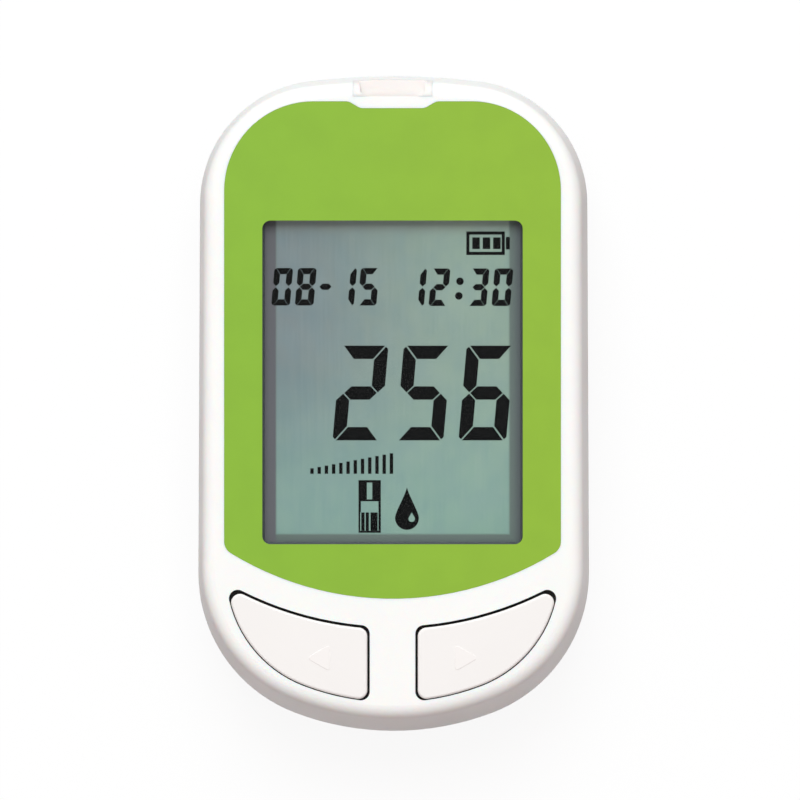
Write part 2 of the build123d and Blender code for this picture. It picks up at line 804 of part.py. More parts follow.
# Buttons: for each side a cap on a dark carrier, and below it a switch with its plunger
for side, name in ((-1, "memory"), (1, "set")):
    with BuildPart() as button_cap:
        with BuildSketch(Plane.XY.offset(carrier_top)):
            draw_button(side, button_top_gap, button_inner_gap, button_outer_gap)
        extrude(amount=case_height + button_proud - carrier_top)
        fillet(button_cap.faces().sort_by(Axis.Z)[-1].edges(), button_edge_round)
        with BuildSketch(Plane.XY.offset(carrier_top)):
            draw_button(
                side,
                button_top_gap + cap_wall,
                button_inner_gap + cap_wall,
                button_outer_gap + cap_wall,
                core_corner,
            )
        extrude(amount=(case_height - carrier_top) / 2, mode=Mode.SUBTRACT)
    write(button_cap, name + "_button_cap")

    core = cap_wall + carrier_fit
    with BuildPart() as button_carrier:
        with BuildSketch(Plane.XY.offset(carrier_bottom)):
            draw_button(side, -carrier_flange, -carrier_flange, -carrier_outer_flange)
        extrude(amount=carrier_thickness)
        with BuildSketch(Plane.XY.offset(carrier_top)):
            draw_button(
                side,
                button_top_gap + core,
                button_inner_gap + core,
                button_outer_gap + core,
                core_corner,
            )
        extrude(amount=(case_height - carrier_top) / 2 - carrier_fit)
        with BuildSketch(Plane.XY.offset(plunger_top)):
            with Locations((side * switch_side, button_middle)):
                Circle(carrier_post_radius)
        extrude(amount=carrier_bottom - plunger_top)
    write(button_carrier, name + "_button_carrier")

    with BuildPart() as switch_housing:
        with BuildSketch(Plane.XY.offset(board_top)):
            with Locations((side * switch_side, button_middle)):
                Rectangle(switch_size, switch_size)
        extrude(amount=switch_height)
        with BuildSketch(Plane.XY.offset(plunger_bottom - button_travel - plunger_clearance)):
            with Locations((side * switch_side, button_middle)):
                Circle(switch_size / 2 - switch_wall)
        extrude(amount=switch_height, mode=Mode.SUBTRACT)
    write(switch_housing, name + "_switch_housing")

    with BuildPart() as switch_cover:
        with BuildSketch(Plane.XY.offset(switch_top)):
            with Locations((side * switch_side, button_middle)):
                Rectangle(switch_size, switch_size)
                Circle(plunger_radius + plunger_clearance, mode=Mode.SUBTRACT)
        extrude(amount=switch_cover_thickness)
    write(switch_cover, name + "_switch_cover")

    with BuildPart() as switch_plunger:
        with BuildSketch(Plane.XY.offset(plunger_bottom)):
            with Locations((side * switch_side, button_middle)):
                Circle(plunger_collar_radius)
        extrude(amount=plunger_collar_height)
        with BuildSketch(Plane.XY.offset(switch_top)):
            with Locations((side * switch_side, button_middle)):
                Circle(plunger_radius)
        extrude(amount=plunger_top - switch_top)
    write(switch_plunger, name + "_switch_plunger")

# Batteries: the left one points its positive end to the strip port, the right one away from it
battery_start = bay_end + contact_thickness
battery_end = bay_top - contact_thickness
for name, side, pole, direction in (
    ("battery_left", -1, battery_end, -1),
    ("battery_right", 1, battery_start, 1),
):
    nub_plane = Plane(origin=(side * battery_x, pole, battery_axis), z_dir=(0, direction, 0))
    with BuildPart() as battery:
        with BuildSketch(nub_plane):
            Circle(nub_radius)
        extrude(amount=nub_length)
        with BuildSketch(nub_plane.offset(nub_length)):
            Circle(battery_radius - sleeve_thickness)
        extrude(amount=battery_length - nub_length)
    write(battery, name)

    with BuildPart() as sleeve:
        with BuildSketch(nub_plane.offset(nub_length + sleeve_end_gap)):
            Circle(battery_radius)
            Circle(battery_radius - sleeve_thickness, mode=Mode.SUBTRACT)
        extrude(amount=battery_length - nub_length - 2 * sleeve_end_gap)
    write(sleeve, name + "_sleeve")

# Contacts: a plate with a tab up to the board behind each battery, and one bridge at the bottom end
for name, side in (("battery_contact_positive", -1), ("battery_contact_negative", 1)):
    with BuildPart() as contact:
        with BuildSketch(Plane.XZ.offset(-bay_top)):
            with Locations((side * battery_x, battery_axis)):
                Rectangle(2 * contact_half_width, 2 * contact_half_height)
            tab_left = side * battery_x - contact_tab_width / 2
            draw_box(tab_left, tab_left + contact_tab_width, battery_axis, board_bottom)
        extrude(amount=contact_thickness)
    write(contact, name)

with BuildPart() as bridge_contact:
    with BuildSketch(Plane.XZ.offset(-bay_end)):
        with Locations((0, battery_axis)):
            Rectangle(2 * (battery_x + contact_half_width), 2 * contact_half_height)
    extrude(amount=-contact_thickness)
write(bridge_contact, "battery_bridge_contact")

# Contact springs behind the two negative ends
coil_length = spring_length - 2 * spring_wire_radius
with BuildPart() as battery_springs:
    for side, seat, direction in ((-1, battery_start, 1), (1, battery_end, -1)):
        coil_start = (side * battery_x, seat + direction * spring_wire_radius, battery_axis)
        with BuildLine() as coil:
            Helix(coil_length / spring_turns, coil_length, spring_radius, coil_start, (0, direction, 0))
        with BuildSketch(Plane(origin=coil.line @ 0, z_dir=coil.line % 0)):
            Circle(spring_wire_radius)
        sweep(is_frenet=True)
write(battery_springs, "battery_springs")

# Buzzer: a cup open to the rear, with its sounding disc
buzzer_bottom = board_bottom - buzzer_height
with BuildPart() as buzzer_housing:
    with BuildSketch(Plane.XY.offset(buzzer_bottom)):
        with Locations((-buzzer_side, chip_row)):
            Circle(buzzer_radius)
    extrude(amount=buzzer_height)
    with BuildSketch(Plane.XY.offset(buzzer_bottom)):
        with Locations((-buzzer_side, chip_row)):
            Circle(buzzer_radius - buzzer_wall)
    extrude(amount=buzzer_height / 2, mode=Mode.SUBTRACT)
write(buzzer_housing, "buzzer_housing")

with BuildPart() as buzzer_disc:
    with BuildSketch(Plane.XY.offset(buzzer_bottom + buzzer_height / 2 - buzzer_disc_thickness)):
        with Locations((-buzzer_side, chip_row)):
            Circle(buzzer_radius - buzzer_wall - port_fit)
    extrude(amount=buzzer_disc_thickness)
write(buzzer_disc, "buzzer_disc")


def make_chip(name, x, y, width, length, height):
    """Make one chip that hangs from the underside of the board."""
    with BuildPart() as chip:
        with BuildSketch(Plane.XY.offset(board_bottom - height)):
            with Locations((x, y)):
                Rectangle(width, length)
        extrude(amount=height)
    write(chip, name)


memory_x = processor_side - processor_size / 2 - chip_gap - memory_width / 2
make_chip("microcontroller", processor_side, chip_row, processor_size, processor_size, processor_height)
make_chip("memory_chip", memory_x, chip_row, memory_width, memory_length, memory_height)
crystal_y = chip_row + processor_size / 2 - crystal_length / 2
make_chip("crystal", memory_x, crystal_y + crystal_length, crystal_width, crystal_length, crystal_height)

with BuildPart() as passives:
    with BuildSketch(Plane.XY.offset(board_bottom - passive_height)):
        with Locations((processor_side, chip_row - processor_size / 2 - chip_gap)):
            with GridLocations(passive_pitch, passive_length, passive_count, 1):
                Rectangle(passive_width, passive_length)
    extrude(amount=passive_height)
write(passives, "chip_resistors")
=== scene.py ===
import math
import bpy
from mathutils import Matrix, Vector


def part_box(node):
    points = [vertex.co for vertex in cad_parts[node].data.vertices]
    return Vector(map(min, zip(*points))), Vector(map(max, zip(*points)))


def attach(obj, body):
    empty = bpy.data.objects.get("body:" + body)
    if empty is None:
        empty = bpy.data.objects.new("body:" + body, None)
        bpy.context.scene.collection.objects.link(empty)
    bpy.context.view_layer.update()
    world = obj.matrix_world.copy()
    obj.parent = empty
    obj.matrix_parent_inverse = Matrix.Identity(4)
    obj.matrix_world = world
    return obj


bl_info = {
    "name": "Blood glucose meter",
    "version": (1, 0, 0),
    "blender": (4, 5, 0),
    "location": "View3D > Sidebar > Meter",
    "description": "Finishes a handheld blood glucose meter, its display and its studio",
    "category": "Object",
}

import bmesh
import bpy
from bpy.props import FloatProperty, FloatVectorProperty, PointerProperty
from mathutils import Matrix, Vector

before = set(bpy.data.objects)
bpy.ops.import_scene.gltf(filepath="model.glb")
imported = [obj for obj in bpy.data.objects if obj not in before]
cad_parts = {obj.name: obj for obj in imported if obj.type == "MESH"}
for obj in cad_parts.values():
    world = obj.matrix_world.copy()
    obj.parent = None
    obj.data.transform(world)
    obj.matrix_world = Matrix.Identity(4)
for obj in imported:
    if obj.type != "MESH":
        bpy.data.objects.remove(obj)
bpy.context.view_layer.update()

MM = 0.001
SEGMENTS_OF = {
    "0": "abcdef",
    "1": "bc",
    "2": "abged",
    "3": "abgcd",
    "5": "afgcd",
    "6": "afgedc",
    "8": "abcdefg",
    "-": "g",
}
# What the display shows, in millimetres: characters, the place of each across and the place of all along
READING = ("256", (-4.73, 4.53, 13.75), 1.55)
DATE = ("08-15", (-16.22, -12.76, -9.87, -6.84, -3.54), 17.14)
TIME = ("1230", (3.44, 6.86, 12.59, 16.1), 17.07)
TIME_DOTS = ((9.87, 17.94), (9.7, 15.8))
DOT_RADIUS = 0.55
# Starts and ends of the contact lines on the strip's foot, from its left side in millimetres
CONTACT_LINES = ((0, 0.25), (0.4, 0.89), (1.06, 1.52), (1.76, 2.8), (2.93, 3.27))
# Moulded finishes: roughness, width and depth of the grain in millimetres, and brightness of the faint cloud
MOULDED = {
    "white_shell": (0.42, 0.22, 0.006, 0.99),
    "guide_white": (0.34, 0.3, 0.003, 0.99),
    "foot_rubber": (0.82, 0.12, 0.02, 0.85),
    "holder_grey": (0.6, 0.15, 0.008, 0.9),
    "button_white": (0.5, 0.18, 0.006, 0.99),
    "carrier_black": (0.7, 0.15, 0.015, 0.8),
    "switch_black": (0.5, 0.1, 0.005, 0.85),
    "plunger_white": (0.45, 0.1, 0.004, 0.97),
    "chip_black": (0.55, 0.06, 0.004, 0.85),
    "connector_black": (0.5, 0.12, 0.006, 0.85),
    "buzzer_black": (0.5, 0.15, 0.006, 0.85),
    "display_ink": (0.55, 0.2, 0.001, 0.9),
}
# Metal finishes: colour in 0 to 255, roughness, and width of the drawn lines in millimetres
METALS = {
    "battery_can": ((200, 202, 204), 0.32, 0.08),
    "plated_steel": ((200, 202, 205), 0.26, 0.06),
    "crystal_metal": ((190, 190, 192), 0.3, 0.05),
    "contact_metal": ((214, 188, 122), 0.25, 0.05),
    "buzzer_brass": ((198, 170, 98), 0.34, 0.08),
    "screw_steel": ((126, 128, 132), 0.36, 0.07),
}


def linear(red, green, blue):
    """A colour given in 0 to 255, as the linear values that shaders take."""
    return tuple(
        c / 255 / 12.92 if c <= 10 else ((c / 255 + 0.055) / 1.055) ** 2.4 for c in (red, green, blue)
    )


def colour(name, description, red, green, blue):
    """A colour setting, with its default given in 0 to 255."""
    return FloatVectorProperty(
        name=name,
        description=description,
        subtype="COLOR",
        size=3,
        min=0.0,
        max=1.0,
        default=linear(red, green, blue),
    )


def length(name, description, millimetres):
    """A length setting, with its default given in millimetres."""
    return FloatProperty(
        name=name,
        description=description,
        unit="LENGTH",
        subtype="DISTANCE",
        precision=5,
        default=millimetres * MM,
    )


def angle(name, description, degrees):
    """An angle setting, with its default given in degrees."""
    return FloatProperty(name=name, description=description, subtype="ANGLE", default=math.radians(degrees))


def power(name, description, watts):
    """A setting for the power of a lamp."""
    return FloatProperty(name=name, description=description, unit="POWER", default=watts)


class MeterDisplaySizes(bpy.types.PropertyGroup):
    """Sizes of what the display shows."""

    reading_height: length("Reading height", "Height of the three large digits", 13.88)
    reading_width: length("Reading width", "Width of a large digit before its slant", 7.0)
    reading_stroke: length("Reading stroke", "Width of a large digit's segments", 1.94)
    reading_cut: length("Reading corner", "Cut at the outer corners of a large digit", 0.5)
    small_height: length("Date height", "Height of the digits of the date and the time", 5.49)
    small_width: length("Date width", "Width of a small digit before its slant", 2.74)
    small_stroke: length("Date stroke", "Width of a small digit's segments", 0.9)
    small_cut: length("Date corner", "Cut at the outer corners of a small digit", 0.3)
    reading_gap: length("Reading gap", "Gap between the segments of a large digit", 0.15)
    small_gap: length("Date gap", "Gap between the segments of a small digit", 0.03)
    slant: angle("Slant", "Angle by which the digits lean to the right", 5)
    ink_thickness: length("Ink thickness", "Thickness of a lit segment on the polariser", 0.02)
    border_side: length("Side border", "Half the width of the display inside its dark border", 17.1)
    border_bottom: length("Bottom border", "Distance from the middle to the dark border below", 19.15)


class MeterMarkSizes(bpy.types.PropertyGroup):
    """Sizes of the raised marks on the buttons."""

    mark_side: length("Mark place", "Distance of a button's mark from the middle", 10.3)
    mark_along: length("Mark height on the face", "Place of a button's mark along the meter", -37.3)
    mark_size: length("Mark size", "Radius of the circle round a button's mark", 2.3)
    mark_rise: length("Mark rise", "How far a mark stands out of its button", 0.06)
    mark_bevel: length("Mark bevel", "Bevel along the top edge of a mark", 0.04)


class MeterColours(bpy.types.PropertyGroup):
    """Colours of the finishes that show."""

    shell: colour("Shell", "White plastic of the covers", 245, 245, 242)
    # Partly the guide's own warmer white, partly painted shade: darker than the shell to stand in for the
    # shade in the strip port's scoop
    guide: colour("Guide", "White plastic of the strip port's guide", 235, 229, 226)
    button: colour("Buttons", "White of the two button caps", 238, 235, 232)
    fascia_left: colour("Fascia, left", "Green of the fascia at its left edge", 131, 177, 40)
    fascia_right: colour("Fascia, right", "Green of the fascia at its right edge", 137, 178, 39)
    screen_cool: colour("Display, upper left", "Display at its upper left corner", 126, 140, 144)
    screen_top: colour("Display, upper right", "Display at its upper right corner", 150, 176, 160)
    screen_left: colour("Display, lower left", "Display at its lower left corner", 135, 171, 161)
    screen_right: colour("Display, lower right", "Display at its lower right corner", 142, 179, 164)
    border_inner: colour("Border, inside", "Display border at its inner edge", 108, 124, 119)
    # Painted shade: the border darkens towards the window's edge, where the window's wall shades it
    border_shaded_edge: colour("Border, outside", "Display border at its outer edge", 86, 92, 97)
    border_left: colour("Border, left", "Display border on its left side", 103, 104, 110)
    ink: colour("Ink", "Lit segments of the display", 5, 5, 6)
    holder: colour("Holder", "Dark frame that holds the display", 70, 76, 80)


class MeterStudio(bpy.types.PropertyGroup):
    """Light and camera of the studio."""

    key_power: power("Key power", "Power of the large lamp", 32.0)
    key_size: length("Key size", "Side of the large lamp", 1200)
    key_distance: length("Key distance", "Distance of the large lamp", 2000)
    key_elevation: angle("Key elevation", "Height of the large lamp as an angle", 58)
    key_turn: angle("Key turn", "Turn of the large lamp from the strip port's side to the left", 4)
    key_tint: colour("Key tint", "Tint of the large lamp", 238, 248, 249)
    side_power: power("Side power", "Power of the low lamp beyond the strip port", 8.0)
    side_elevation: angle("Side elevation", "Height of the low lamp as an angle", 18)
    ambient: FloatProperty(name="Ambient", description="Strength of the light all round", default=0.51)
    ambient_tint: colour("Ambient tint", "Tint of the light all round", 255, 239, 239)
    floor_bounce: colour("Floor bounce", "Shade that the floor gives back to the meter", 124, 117, 116)
    floor_drop: length("Floor drop", "How far the floor lies under the feet", 0.05)
    shadow_share: FloatProperty(
        name="Shadow share",
        description="Share of the floor's look that the light and the shadows make",
        subtype="FACTOR",
        min=0.0,
        max=1.0,
        default=0.1,
    )
    view_width: length("View width", "Width of the view at its own height", 117.34)
    view_height: length("View height", "Height at which the view has its width", 20)
    view_side: length("View side", "Place of the view's middle across", 1.1)
    view_along: length("View along", "Place of the view's middle along", 0.52)
    view_tilt: angle("View tilt", "Lean of the camera to the right of straight above", 0.85)


class Finish:
    """A procedural material: one Principled shader, with patterns that read Object coordinates."""

    def __init__(self, name, base, sockets):
        self.material = bpy.data.materials.new(name)
        self.material.use_nodes = True
        self.nodes = self.material.node_tree.nodes
        self.shader = self.nodes["Principled BSDF"]
        self.shader.inputs["Base Color"].default_value = (*base, 1.0)
        for socket, value in sockets.items():
            self.shader.inputs[socket].default_value = value
        self.place = self.node("ShaderNodeTexCoord").outputs["Object"]

    def node(self, kind, **options):
        """Add a node with these options."""
        made = self.nodes.new(kind)
        for name, value in options.items():
            setattr(made, name, value)
        return made

    def feed(self, socket, value):
        """Give an input socket an output to follow, or a value of its own."""
        if isinstance(value, bpy.types.NodeSocket):
            self.material.node_tree.links.new(value, socket)
        else:
            socket.default_value = value

    def noise(self, grain, detail=2.0, stretch=(1, 1, 1)):
        """Noise from 0 to 1 whose grains are this many metres wide, times the stretch on each axis."""
        mapping = self.node("ShaderNodeMapping")
        self.feed(mapping.inputs["Vector"], self.place)
        mapping.inputs["Scale"].default_value = [1 / (grain * s) for s in stretch]
        noise = self.node("ShaderNodeTexNoise")
        self.feed(noise.inputs["Vector"], mapping.outputs["Vector"])
        noise.inputs["Scale"].default_value = 1.0
        noise.inputs["Detail"].default_value = detail
        return noise.outputs["Fac"]

    def waves(self, pitch, direction):
        """Bands from 0 to 1 across a direction, X, Y or Z, this many metres apart."""
        wave = self.node("ShaderNodeTexWave", bands_direction=direction)
        self.feed(wave.inputs["Vector"], self.place)
        pitch_at_scale_one = math.pi / 10
        wave.inputs["Scale"].default_value = pitch_at_scale_one / pitch
        return wave.outputs["Fac"]

    def axis(self, letter):
        """One of the Object coordinates."""
        parts = self.node("ShaderNodeSeparateXYZ")
        self.feed(parts.inputs["Vector"], self.place)
        return parts.outputs[letter]

    def combine(self, operation, first, second=0.0):
        """A sum, product or other operation of two values."""
        made = self.node("ShaderNodeMath", operation=operation)
        self.feed(made.inputs[0], first)
        self.feed(made.inputs[1], second)
        return made.outputs["Value"]

    def between(self, value, low, high):
        """0 below the low value, 1 above the high one and smooth in between."""
        made = self.node("ShaderNodeMapRange", interpolation_type="SMOOTHSTEP")
        self.feed(made.inputs["Value"], value)
        made.inputs["From Min"].default_value = low
        made.inputs["From Max"].default_value = high
        return made.outputs["Result"]

    def beyond(self, value, place, soft):
        """0 below a place and 1 above it, with an edge that is soft to either side."""
        return self.between(value, place - soft, place + soft)

    def blend(self, share, first, second):
        """A mix of two colours."""
        made = self.node("ShaderNodeMix", data_type="RGBA")
        self.feed(made.inputs["Factor"], share)
        for socket, value in ((made.inputs[6], first), (made.inputs[7], second)):
            self.feed(socket, value if isinstance(value, bpy.types.NodeSocket) else (*value, 1.0))
        return made.outputs[2]

    def paint(self, value):
        """Feed the shader's base colour."""
        self.feed(self.shader.inputs["Base Color"], value)

    def polish(self, value, low, high):
        """Let the roughness go from low to high with a value from 0 to 1."""
        made = self.node("ShaderNodeMapRange")
        self.feed(made.inputs["Value"], value)
        made.inputs["To Min"].default_value = low
        made.inputs["To Max"].default_value = high
        self.feed(self.shader.inputs["Roughness"], made.outputs["Result"])

    def emboss(self, height, depth):
        """Bump the surface by a value from 0 to 1, this many metres deep."""
        bump = self.node("ShaderNodeBump")
        bump.inputs["Distance"].default_value = depth
        self.feed(bump.inputs["Height"], height)
        self.feed(self.shader.inputs["Normal"], bump.outputs["Normal"])


def shade(base, share):
    """A colour made darker or lighter by a share."""
    return tuple(min(1.0, c * share) for c in base)


def moulded(name, base, sockets=None):
    """Moulded plastic or rubber: a fine spark-eroded grain, with a faint cloud in its colour and gloss."""
    roughness, grain, depth, mottle = MOULDED[name]
    finish = Finish(name, base, {"Roughness": roughness, **(sockets or {})})
    cloud = finish.between(finish.noise(12 * MM, detail=3.0), 0.35, 0.65)
    finish.paint(finish.blend(cloud, shade(base, mottle), base))
    finish.polish(cloud, roughness * 0.92, roughness * 1.08)
    finish.emboss(finish.noise(grain * MM, detail=3.0), depth=depth * MM)
    return finish


def metal(name):
    """Drawn or plated metal: fine lines along Y, with a gloss that varies."""
    shown, roughness, width = METALS[name]
    base = linear(*shown)
    finish = Finish(name, base, {"Roughness": roughness, "Metallic": 1.0})
    lines = finish.noise(width * MM, detail=4.0, stretch=(1, 14, 1))
    finish.paint(finish.blend(lines, shade(base, 0.86), shade(base, 1.06)))
    finish.polish(lines, roughness * 0.75, roughness * 1.3)
    finish.emboss(lines, depth=0.002 * MM)
    return finish


def dress(finish, *nodes):
    """Give a finish to nodes of the frame."""
    for name in nodes:
        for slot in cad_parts[name].material_slots:
            slot.material = finish.material


def add_plate(bm, outline, low, high):
    """Add a flat plate with this outline between two heights."""
    corners = [bm.verts.new((x, y, low)) for x, y in outline]
    raise_faces(bm, bmesh.ops.contextual_create(bm, geom=corners)["faces"], high - low)


def add_ring(bm, outer, inner, low, high):
    """Add a flat plate with a hole: two outlines with as many points, between two heights."""
    edges = []
    for outline in (outer, inner):
        corners = [bm.verts.new((x, y, low)) for x, y in outline]
        edges += [bm.edges.new((a, b)) for a, b in zip(corners, corners[1:] + corners[:1])]
    raise_faces(bm, bmesh.ops.bridge_loops(bm, edges=edges)["faces"], high - low)


def raise_faces(bm, faces, height):
    """Extrude flat faces upwards into a closed plate."""
    grown = bmesh.ops.extrude_face_region(bm, geom=faces)["geom"]
    top = [v for v in grown if isinstance(v, bmesh.types.BMVert)]
    bmesh.ops.translate(bm, verts=top, vec=(0, 0, height))


def rectangle(left, right, bottom, top):
    """The outline of an upright rectangle."""
    return [(left, bottom), (right, bottom), (right, top), (left, top)]


def plain_rays(tree):
    """1 for the rays that should meet a plain white background, in the nodes of a material or a world."""
    rays = tree.nodes.new("ShaderNodeLightPath").outputs
    total = rays["Is Camera Ray"]
    for ray in ("Is Glossy Ray", "Is Transmission Ray"):
        add = tree.nodes.new("ShaderNodeMath")
        add.operation = "ADD"
        add.use_clamp = True
        tree.links.new(total, add.inputs[0])
        tree.links.new(rays[ray], add.inputs[1])
        total = add.outputs["Value"]
    return total


def make_piece(bm, name, body, material):
    """Make a piece of a bmesh, give it its material and let it ride on a body."""
    bmesh.ops.recalc_face_normals(bm, faces=bm.faces)
    mesh = bpy.data.meshes.new(name)
    bm.to_mesh(mesh)
    bm.free()
    mesh.materials.append(material)
    piece = bpy.data.objects.new(name, mesh)
    bpy.context.scene.collection.objects.link(piece)
    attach(piece, body)


class MeterShell(bpy.types.Operator):
    """Finish the covers, the battery door, the strip port's guide and the feet"""

    bl_idname = "meter.shell"
    bl_label = "Shell"

    def execute(self, context):
        colours = context.scene.meter_colours
        shell = tuple(colours.shell)
        soft = {
            "Specular IOR Level": 0.2,
            "Subsurface Weight": 0.35,
            "Subsurface Radius": (1.0, 0.45, 0.3),
            "Subsurface Scale": 1.2 * MM,
        }
        satin = moulded("white_shell", shell, soft)
        dress(satin, "front_cover", "rear_cover", "battery_door")
        # The guide's colour is darkened partly as painted shade for the scoop it lines
        guide = moulded("guide_white", tuple(colours.guide), soft)
        dress(guide, "strip_port_guide")
        rubber = moulded("foot_rubber", linear(96, 98, 100))
        dress(rubber, "rubber_feet")
        return {"FINISHED"}


class MeterFascia(bpy.types.Operator):
    """Finish the fascia: green ink under a clear hard coat"""

    bl_idname = "meter.fascia"
    bl_label = "Fascia"

    def execute(self, context):
        colours = context.scene.meter_colours
        left, right = tuple(colours.fascia_left), tuple(colours.fascia_right)
        coat = {"Roughness": 0.3, "Specular IOR Level": 0.35, "Coat Weight": 0.2, "Coat Roughness": 0.06}
        finish = Finish("fascia_green", left, coat)
        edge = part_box("fascia_overlay")[1].x
        across = finish.between(finish.axis("X"), -edge, edge)
        ink = finish.blend(across, left, right)
        cloud = finish.between(finish.noise(5 * MM, detail=3.0), 0.3, 0.7)
        deep = finish.blend(across, shade(left, 0.96), shade(right, 0.96))
        finish.paint(finish.blend(cloud, deep, ink))
        # With a roughness under about 0.28 the denoiser leaves small dark specks
        finish.polish(finish.noise(1.5 * MM, detail=3.0), 0.29, 0.35)
        finish.emboss(finish.noise(0.9 * MM, detail=2.0), depth=0.002 * MM)
        dress(finish, "fascia_overlay")
        return {"FINISHED"}


class MeterDisplay(bpy.types.Operator):
    """Finish the lens, the holder and the layers of the display"""

    bl_idname = "meter.display"
    bl_label = "Display layers"

    def execute(self, context):
        sizes, colours = context.scene.meter_display, context.scene.meter_colours
        lens = Finish("clear_lens", linear(30, 34, 32), {"Roughness": 0.04, "Alpha": 0.06, "IOR": 1.49})
        lens.emboss(lens.noise(6 * MM, detail=1.0), depth=0.001 * MM)
        dress(lens, "display_lens")
        holder = moulded("holder_grey", tuple(colours.holder))
        dress(holder, "display_holder")
        dress(self.screen(sizes, colours), "lcd_front_polariser")
        glass = Finish("lcd_glass", linear(206, 226, 214), {"Roughness": 0.05, "Alpha": 0.3, "IOR": 1.52})
        glass.emboss(glass.noise(4 * MM, detail=1.0), depth=0.001 * MM)
        dress(glass, "lcd_front_glass", "lcd_rear_glass")
        mirror = Finish("lcd_reflector", linear(150, 166, 158), {"Roughness": 0.38, "Metallic": 0.6})
        cloud = mirror.noise(0.2 * MM, detail=3.0)
        mirror.paint(mirror.blend(cloud, linear(138, 154, 147), linear(160, 176, 168)))
        mirror.emboss(mirror.noise(0.1 * MM, detail=3.0), depth=0.01 * MM)
        dress(mirror, "lcd_reflector")
        zebra = Finish("zebra_rubber", linear(60, 60, 62), {"Roughness": 0.7})
        stripe = zebra.between(zebra.waves(0.25 * MM, "X"), 0.4, 0.6)
        zebra.paint(zebra.blend(stripe, linear(26, 26, 28), linear(196, 190, 184)))
        zebra.emboss(zebra.noise(0.1 * MM), depth=0.01 * MM)
        dress(zebra, "zebra_strip")
        foam = Finish("display_foam", linear(70, 70, 72), {"Roughness": 0.95, "Sheen Weight": 0.2})
        cells = foam.noise(0.35 * MM, detail=2.0)
        foam.paint(foam.blend(foam.between(cells, 0.35, 0.6), linear(44, 44, 46), linear(80, 80, 82)))
        foam.emboss(cells, depth=0.12 * MM)
        dress(foam, "display_pad")
        return {"FINISHED"}

    def screen(self, sizes, colours):
        """The display's face: a grey-green that changes from corner to corner, with painted light near its
        top edge that lightens the shadow the window's top edge casts there.
        """
        dull = {"Roughness": 0.5, "Specular IOR Level": 0.3}
        finish = Finish("lcd_polariser", tuple(colours.screen_top), dull)
        low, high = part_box("lcd_front_polariser")
        x, y = finish.axis("X"), finish.axis("Y")
        right = finish.between(x, low.x, high.x * 0.8)
        up = finish.between(y, low.y * 0.8, high.y * 0.4)
        upper = finish.blend(right, tuple(colours.screen_cool), tuple(colours.screen_top))
        lower = finish.blend(right, tuple(colours.screen_left), tuple(colours.screen_right))
        face = finish.blend(up, lower, upper)
        cool, lit = linear(112, 147, 159), linear(200, 215, 208)
        patches = finish.between(finish.noise(2.6 * MM, detail=3.0, stretch=(1, 1.5, 1)), 0.32, 0.68)
        face = finish.blend(finish.combine("MULTIPLY", patches, 0.2), face, cool)
        # Painted light: a lighter band along the top edge, where the window's top edge shades the display
        glow = finish.between(y, high.y - 4.0 * MM, high.y - 1.8 * MM)
        streaks = finish.between(finish.noise(0.3 * MM, detail=3.0, stretch=(1, 30, 1)), 0.3, 0.7)
        haze = finish.between(finish.noise(6 * MM, detail=4.0), 0.3, 0.7)
        # The lighter colour mixes in painted light near the top edge, plus streaks and haze that are the
        # display's own uneven tone
        light = 0.0
        for pattern, share in ((glow, 0.23), (streaks, 0.045), (haze, 0.06)):
            light = finish.combine("ADD", light, finish.combine("MULTIPLY", pattern, share))
        face = finish.blend(light, face, lit)
        edge, rim = self.border(finish, sizes, colours, low, high)
        finish.paint(finish.blend(edge, face, rim))
        finish.emboss(finish.noise(0.08 * MM, detail=2.0), depth=0.002 * MM)
        return finish

    def border(self, finish, sizes, colours, low, high):
        """Where the dark border lies, and its colour: the display's own dark border, darkened towards the
        window's edge as painted shade, warmer and even on the left.
        """
        x = finish.axis("X")
        aside = finish.combine("ABSOLUTE", x)
        below = finish.combine("MULTIPLY", finish.axis("Y"), -1.0)
        side, bottom, soft = sizes.border_side, sizes.border_bottom, 0.22 * MM
        inside = finish.beyond(aside, side, soft), finish.beyond(below, bottom, soft)
        # Painted shade: the border gets darker outwards, towards the window's wall
        shade_outward = finish.between(aside, side, high.x), finish.between(below, bottom, -low.y)
        rim = finish.combine("MAXIMUM", *shade_outward)
        rim = finish.blend(rim, tuple(colours.border_inner), tuple(colours.border_shaded_edge))
        rim = finish.blend(finish.beyond(x, -side, soft), tuple(colours.border_left), rim)
        return finish.combine("MAXIMUM", *inside), rim


class MeterButtons(bpy.types.Operator):
    """Finish the button caps, their dark carriers and the switches below them"""

    bl_idname = "meter.buttons"
    bl_label = "Buttons and switches"

    def execute(self, context):
        colours = context.scene.meter_colours
        cap = moulded("button_white", tuple(colours.button))
        carrier = moulded("carrier_black", linear(24, 24, 26))
        black = moulded("switch_black", linear(34, 34, 36))
        plunger = moulded("plunger_white", linear(222, 222, 218))
        for side in ("memory", "set"):
            dress(cap, side + "_button_cap")
            dress(carrier, side + "_button_carrier")
            dress(black, side + "_switch_housing")
            dress(plunger, side + "_switch_plunger")
        return {"FINISHED"}


